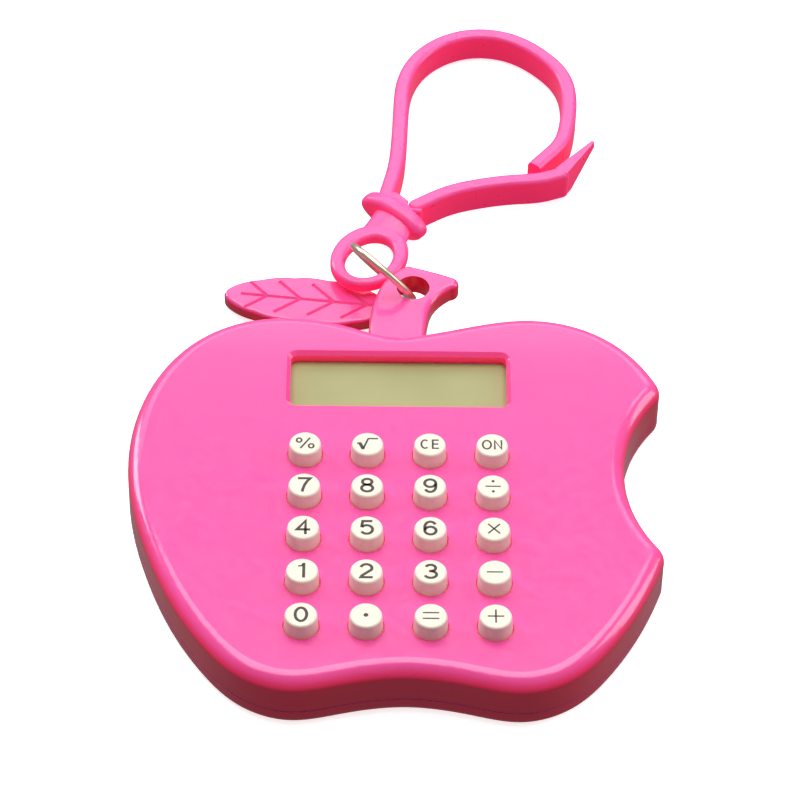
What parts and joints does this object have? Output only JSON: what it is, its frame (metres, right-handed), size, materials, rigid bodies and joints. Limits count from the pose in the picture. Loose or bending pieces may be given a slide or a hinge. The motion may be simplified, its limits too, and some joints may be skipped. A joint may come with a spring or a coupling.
{
  "type": "key-ring calculator",
  "caption": "Small pocket calculator in an apple-shaped pink case with round cream keys, a leaf, a metal ring and a plastic snap hook for hanging it on a bag.",
  "frame": {"origin": "on the flat back, on the apple's own axis and half way along the apple", "axes": "+Z out of the keys, +Y from the keypad to the display, stem and snap hook, +X to the bitten side; the calculator lies on its back"},
  "size_m": [0.0778, 0.142, 0.0123],
  "materials": {
    "case_pink": "polished ABS, moulded in bright pink",
    "hook_pink": "satin polypropylene, moulded in bright pink",
    "key_cream": "satin cream ABS with a printed legend",
    "silicone_grey": "translucent grey silicone",
    "carbon_black": "conductive carbon-filled rubber",
    "board_green": "phenolic board with solder resist",
    "epoxy_black": "glossy epoxy",
    "chip_ceramic": "ceramic",
    "screw_steel": "zinc plated steel",
    "polariser": "satin film",
    "display_glass": "clear glass",
    "reflector": "satin metallised film",
    "foam_black": "soft closed-cell foam",
    "zebra_rubber": "layered conductive rubber",
    "cell_steel": "bright nickel plated can",
    "contact_steel": "sprung nickel plated strip",
    "ring_nickel": "bright nickel plated wire"
  },
  "bodies": {
    "case": {"front_case": "case_pink", "rear_case": "case_pink", "stem_and_leaf": "case_pink", "dome_mat": "silicone_grey", "carbon_pills": "carbon_black", "circuit_board": "board_green", "chip_blob": "epoxy_black", "timing_resistor": "chip_ceramic", "filter_capacitor": "chip_ceramic", "board_screws": "screw_steel", "case_screws": "screw_steel", "lcd_front_polariser": "polariser", "lcd_front_glass": "display_glass", "lcd_rear_glass": "display_glass", "lcd_reflector": "reflector", "lcd_foam_pad": "foam_black", "zebra_strip": "zebra_rubber", "battery_cell": "cell_steel", "battery_contact_negative": "contact_steel", "battery_contact_positive": "contact_steel"},
    "battery_cover": {"battery_cover": "case_pink"},
    "key_ring": {"key_ring": "ring_nickel"},
    "hook": {"hook_body": "hook_pink"},
    "gate": {"hook_gate": "hook_pink"},
    "key_row1_col1": {"key_row1_col1": "key_cream"},
    "key_row1_col2": {"key_row1_col2": "key_cream"},
    "key_row1_col3": {"key_row1_col3": "key_cream"},
    "key_row1_col4": {"key_row1_col4": "key_cream"},
    "key_row2_col1": {"key_row2_col1": "key_cream"},
    "key_row2_col2": {"key_row2_col2": "key_cream"},
    "key_row2_col3": {"key_row2_col3": "key_cream"},
    "key_row2_col4": {"key_row2_col4": "key_cream"},
    "key_row3_col1": {"key_row3_col1": "key_cream"},
    "key_row3_col2": {"key_row3_col2": "key_cream"},
    "key_row3_col3": {"key_row3_col3": "key_cream"},
    "key_row3_col4": {"key_row3_col4": "key_cream"},
    "key_row4_col1": {"key_row4_col1": "key_cream"},
    "key_row4_col2": {"key_row4_col2": "key_cream"},
    "key_row4_col3": {"key_row4_col3": "key_cream"},
    "key_row4_col4": {"key_row4_col4": "key_cream"},
    "key_row5_col1": {"key_row5_col1": "key_cream"},
    "key_row5_col2": {"key_row5_col2": "key_cream"},
    "key_row5_col3": {"key_row5_col3": "key_cream"},
    "key_row5_col4": {"key_row5_col4": "key_cream"}
  },
  "joints": [
    {"name": "key_row1_col1_press", "type": "slide", "parent": "case", "child": "key_row1_col1", "axis": [0, 0, -1], "range_m": [0, 0.0009], "stiffness_N_per_m": 500, "springref_m": -0.0002, "deforming": ["dome_mat"]},
    {"name": "key_row1_col2_press", "type": "slide", "parent": "case", "child": "key_row1_col2", "axis": [0, 0, -1], "range_m": [0, 0.0009], "stiffness_N_per_m": 500, "springref_m": -0.0002, "deforming": ["dome_mat"]},
    {"name": "key_row1_col3_press", "type": "slide", "parent": "case", "child": "key_row1_col3", "axis": [0, 0, -1], "range_m": [0, 0.0009], "stiffness_N_per_m": 500, "springref_m": -0.0002, "deforming": ["dome_mat"]},
    {"name": "key_row1_col4_press", "type": "slide", "parent": "case", "child": "key_row1_col4", "axis": [0, 0, -1], "range_m": [0, 0.0009], "stiffness_N_per_m": 500, "springref_m": -0.0002, "deforming": ["dome_mat"]},
    {"name": "key_row2_col1_press", "type": "slide", "parent": "case", "child": "key_row2_col1", "axis": [0, 0, -1], "range_m": [0, 0.0009], "stiffness_N_per_m": 500, "springref_m": -0.0002, "deforming": ["dome_mat"]},
    {"name": "key_row2_col2_press", "type": "slide", "parent": "case", "child": "key_row2_col2", "axis": [0, 0, -1], "range_m": [0, 0.0009], "stiffness_N_per_m": 500, "springref_m": -0.0002, "deforming": ["dome_mat"]},
    {"name": "key_row2_col3_press", "type": "slide", "parent": "case", "child": "key_row2_col3", "axis": [0, 0, -1], "range_m": [0, 0.0009], "stiffness_N_per_m": 500, "springref_m": -0.0002, "deforming": ["dome_mat"]},
    {"name": "key_row2_col4_press", "type": "slide", "parent": "case", "child": "key_row2_col4", "axis": [0, 0, -1], "range_m": [0, 0.0009], "stiffness_N_per_m": 500, "springref_m": -0.0002, "deforming": ["dome_mat"]},
    {"name": "key_row3_col1_press", "type": "slide", "parent": "case", "child": "key_row3_col1", "axis": [0, 0, -1], "range_m": [0, 0.0009], "stiffness_N_per_m": 500, "springref_m": -0.0002, "deforming": ["dome_mat"]},
    {"name": "key_row3_col2_press", "type": "slide", "parent": "case", "child": "key_row3_col2", "axis": [0, 0, -1], "range_m": [0, 0.0009], "stiffness_N_per_m": 500, "springref_m": -0.0002, "deforming": ["dome_mat"]},
    {"name": "key_row3_col3_press", "type": "slide", "parent": "case", "child": "key_row3_col3", "axis": [0, 0, -1], "range_m": [0, 0.0009], "stiffness_N_per_m": 500, "springref_m": -0.0002, "deforming": ["dome_mat"]},
    {"name": "key_row3_col4_press", "type": "slide", "parent": "case", "child": "key_row3_col4", "axis": [0, 0, -1], "range_m": [0, 0.0009], "stiffness_N_per_m": 500, "springref_m": -0.0002, "deforming": ["dome_mat"]},
    {"name": "key_row4_col1_press", "type": "slide", "parent": "case", "child": "key_row4_col1", "axis": [0, 0, -1], "range_m": [0, 0.0009], "stiffness_N_per_m": 500, "springref_m": -0.0002, "deforming": ["dome_mat"]},
    {"name": "key_row4_col2_press", "type": "slide", "parent": "case", "child": "key_row4_col2", "axis": [0, 0, -1], "range_m": [0, 0.0009], "stiffness_N_per_m": 500, "springref_m": -0.0002, "deforming": ["dome_mat"]},
    {"name": "key_row4_col3_press", "type": "slide", "parent": "case", "child": "key_row4_col3", "axis": [0, 0, -1], "range_m": [0, 0.0009], "stiffness_N_per_m": 500, "springref_m": -0.0002, "deforming": ["dome_mat"]},
    {"name": "key_row4_col4_press", "type": "slide", "parent": "case", "child": "key_row4_col4", "axis": [0, 0, -1], "range_m": [0, 0.0009], "stiffness_N_per_m": 500, "springref_m": -0.0002, "deforming": ["dome_mat"]},
    {"name": "key_row5_col1_press", "type": "slide", "parent": "case", "child": "key_row5_col1", "axis": [0, 0, -1], "range_m": [0, 0.0009], "stiffness_N_per_m": 500, "springref_m": -0.0002, "deforming": ["dome_mat"]},
    {"name": "key_row5_col2_press", "type": "slide", "parent": "case", "child": "key_row5_col2", "axis": [0, 0, -1], "range_m": [0, 0.0009], "stiffness_N_per_m": 500, "springref_m": -0.0002, "deforming": ["dome_mat"]},
    {"name": "key_row5_col3_press", "type": "slide", "parent": "case", "child": "key_row5_col3", "axis": [0, 0, -1], "range_m": [0, 0.0009], "stiffness_N_per_m": 500, "springref_m": -0.0002, "deforming": ["dome_mat"]},
    {"name": "key_row5_col4_press", "type": "slide", "parent": "case", "child": "key_row5_col4", "axis": [0, 0, -1], "range_m": [0, 0.0009], "stiffness_N_per_m": 500, "springref_m": -0.0002, "deforming": ["dome_mat"]},
    {"name": "battery_cover_turn", "type": "hinge", "parent": "case", "child": "battery_cover", "pos_m": [-0.029, -0.0005, 0], "axis": [0, 0, 1], "range_deg": [0, 90]},
    {"name": "ring_turn", "type": "hinge", "parent": "case", "child": "key_ring", "pos_m": [-0.00349, 0.04695, 0.00663], "axis": [0.6539, 0.5599, 0.5089], "range_deg": [0, 60]},
    {"name": "hook_swing", "type": "hinge", "parent": "key_ring", "child": "hook", "pos_m": [-0.0059, 0.05189, 0.0043], "axis": [0.0142, 0.029, 0.9995], "range_deg": [-20, 12]},
    {"name": "gate_flex", "type": "hinge", "parent": "hook", "child": "gate", "pos_m": [0.00158, 0.06289, 0.00389], "axis": [0.0142, 0.029, 0.9995], "range_deg": [-18, 0], "stiffness_Nm_per_rad": 0.08}
  ]
}
